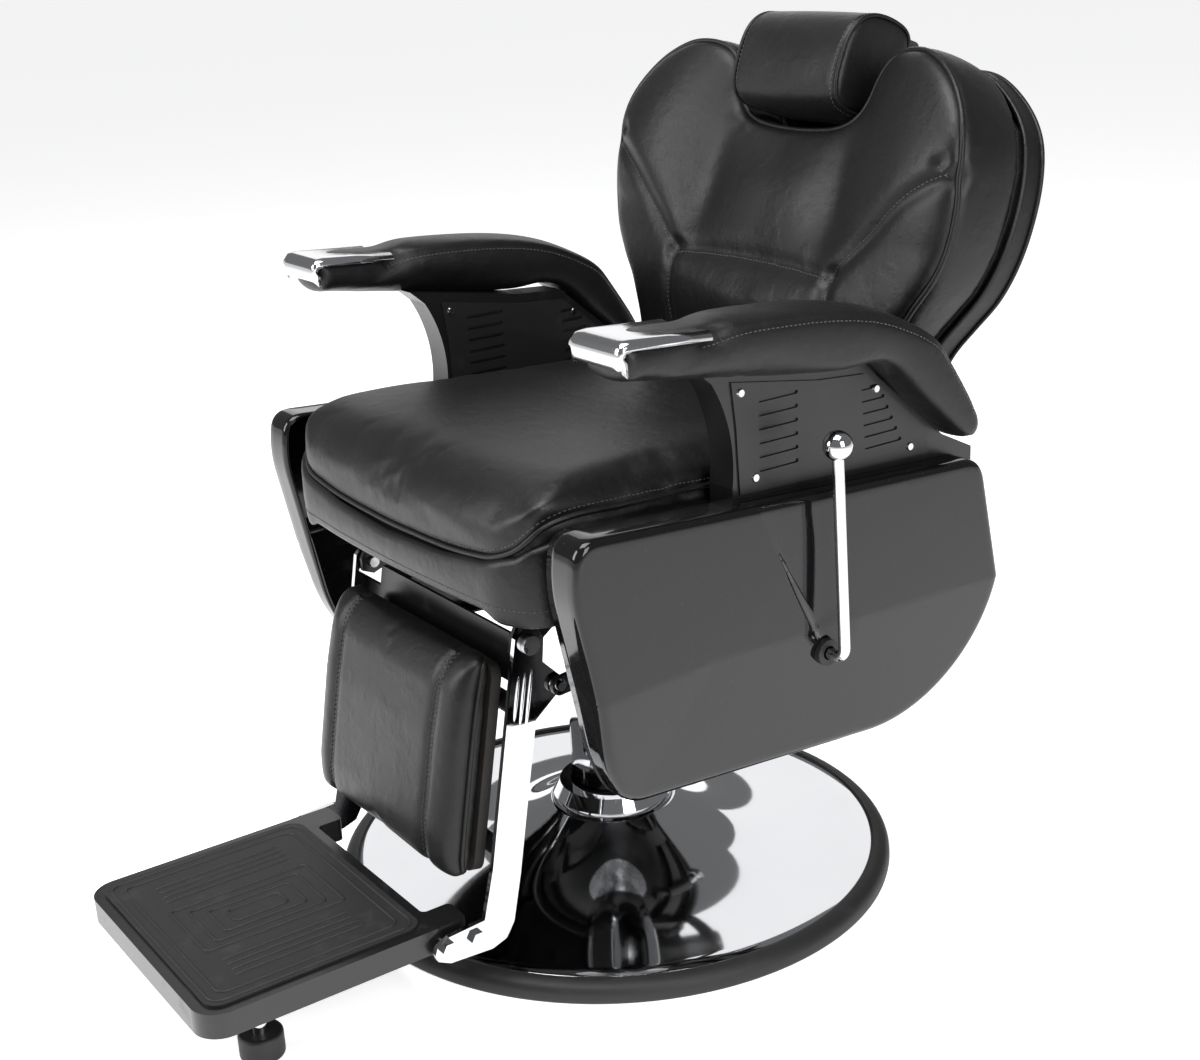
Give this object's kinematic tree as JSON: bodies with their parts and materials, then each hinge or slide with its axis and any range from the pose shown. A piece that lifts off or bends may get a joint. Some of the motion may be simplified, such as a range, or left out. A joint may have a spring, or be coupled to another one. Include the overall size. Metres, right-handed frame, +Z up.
{
  "type": "hydraulic barber chair",
  "caption": "Barber chair on a chrome disc base with a hydraulic column, reclining winged back, sliding headrest, linked leg rest and folding footplate.",
  "frame": {"origin": "centre of the round base, on the floor, under the column", "axes": "+Z up, -Y the way the sitter faces, +X the sitter's left"},
  "size_m": [0.695, 1.0195, 0.9409],
  "materials": {
    "chrome": "bright chrome plate",
    "polished_metal": "polished metal cap",
    "black_vinyl": "black vinyl leather, soft sheen, fine grain",
    "gloss_black_panel": "glossy black moulding",
    "black_steel": "black painted steel",
    "bright_steel": "zinc plated or machined steel",
    "pump_iron": "painted casting",
    "black_rubber": "moulded rubber",
    "plywood": "plywood board stained black"
  },
  "bodies": {
    "root": {"base_plate": "black_steel", "trim_ring": "black_rubber", "base_dish": "chrome", "neck_collar": "chrome", "pump_body": "pump_iron", "gland_nut": "bright_steel", "pump_bolts": "bright_steel"},
    "pedal": {"pedal_arm": "bright_steel", "pedal_pad": "black_rubber"},
    "lift": {"piston_rod": "chrome", "column_shroud": "chrome", "thrust_bearing": "bright_steel"},
    "seat": {"swivel_hub": "bright_steel", "seat_bracket": "black_steel", "hub_bolts": "bright_steel", "frame_rails": "black_steel", "frame_cross_tubes": "black_steel", "pivot_pins": "bright_steel", "gas_spring_anchor": "black_steel", "seat_board": "plywood", "seat_cushion": "black_vinyl", "seat_skirt": "black_vinyl", "arm_frame_left": "black_steel", "arm_frame_right": "black_steel", "vent_plates_left": "black_steel", "vent_plates_right": "black_steel", "vent_screws": "chrome", "arm_pad_left": "black_vinyl", "arm_pad_right": "black_vinyl", "arm_cap_left": "polished_metal", "arm_cap_right": "polished_metal", "side_panel_left": "gloss_black_panel", "side_panel_right": "gloss_black_panel", "lever_grommet": "black_rubber"},
    "lever": {"lever_rod": "chrome", "lever_knob": "chrome"},
    "back": {"back_hinge_plates": "black_steel", "back_cross_bars": "black_steel", "back_uprights": "black_steel", "back_levers": "black_steel", "back_board": "plywood", "back_cushion": "black_vinyl", "back_rear_cover": "black_vinyl", "headrest_socket": "black_steel"},
    "headrest": {"headrest_bar": "chrome", "headrest_board": "plywood", "headrest_cushion": "black_vinyl"},
    "gas_body": {"gas_spring_body": "black_steel"},
    "gas_rod": {"gas_spring_rod": "bright_steel"},
    "link": {"link_bars": "black_steel"},
    "leg_rest": {"leg_rails": "chrome", "leg_cross_tubes": "black_steel", "leg_board": "plywood", "leg_pad": "black_vinyl", "footplate_bolts": "chrome"},
    "footplate": {"foot_tray": "black_steel", "foot_mat": "black_rubber", "foot_studs": "chrome"},
    "foot_left": {"foot_knob_left": "black_rubber"},
    "foot_right": {"foot_knob_right": "black_rubber"}
  },
  "joints": [
    {"name": "seat_lift", "type": "slide", "parent": "root", "child": "lift", "axis": [0, 0, 1], "range_m": [0, 0.16]},
    {"name": "seat_swivel", "type": "hinge", "parent": "lift", "child": "seat", "pos_m": [0, 0, 0.32], "axis": [0, 0, 1], "continuous": true},
    {"name": "pedal_press", "type": "hinge", "parent": "root", "child": "pedal", "pos_m": [-0.03381, 0.07251, 0.092], "axis": [-0.9063, -0.4226, 0], "range_deg": [0, 11], "stiffness_Nm_per_rad": 20, "springref_deg": -8.59},
    {"name": "recline_lever", "type": "hinge", "parent": "seat", "child": "lever", "pos_m": [0.27, 0.055, 0.342], "axis": [-1, 0, 0], "range_deg": [0, 25], "stiffness_Nm_per_rad": 3, "springref_deg": -17.19},
    {"name": "back_recline", "type": "hinge", "parent": "seat", "child": "back", "pos_m": [0, 0.255, 0.455], "axis": [-1, 0, 0], "range_deg": [0, 45]},
    {"name": "headrest_slide", "type": "slide", "parent": "back", "child": "headrest", "axis": [0, 0.342, 0.9397], "range_m": [0, 0.1]},
    {"name": "leg_rest_lift", "type": "hinge", "parent": "seat", "child": "leg_rest", "pos_m": [0, -0.208, 0.378], "axis": [-1, 0, 0], "range_deg": [0, 60]},
    {"name": "link_swing", "type": "hinge", "parent": "back", "child": "link", "pos_m": [0, 0.28562, 0.38109], "axis": [1, 0, 0], "range_deg": [0, 45]},
    {"name": "gas_spring_tilt", "type": "hinge", "parent": "seat", "child": "gas_body", "pos_m": [0, 0.112, 0.372], "axis": [1, 0, 0], "range_deg": [0, 4]},
    {"name": "gas_spring_stroke", "type": "slide", "parent": "gas_body", "child": "gas_rod", "axis": [0, -0.9513, -0.3082], "range_m": [0, 0.027]},
    {"name": "footplate_fold", "type": "hinge", "parent": "leg_rest", "child": "footplate", "pos_m": [0, -0.328, 0.077], "axis": [-1, 0, 0], "range_deg": [0, 65]},
    {"name": "foot_left_screw", "type": "slide", "parent": "footplate", "child": "foot_left", "axis": [0, 0, 1], "range_m": [0, 0.012]},
    {"name": "foot_right_screw", "type": "slide", "parent": "footplate", "child": "foot_right", "axis": [0, 0, 1], "range_m": [0, 0.012]}
  ],
  "couplings": [
    {"joint": "leg_rest_lift", "follows": "back_recline", "ratio": 1.3333},
    {"joint": "link_swing", "follows": "back_recline", "ratio": 1},
    {"joint": "gas_spring_tilt", "follows": "back_recline", "ratio": 0.07558},
    {"joint": "gas_spring_stroke", "follows": "back_recline", "m_per_rad": 0.032135}
  ]
}
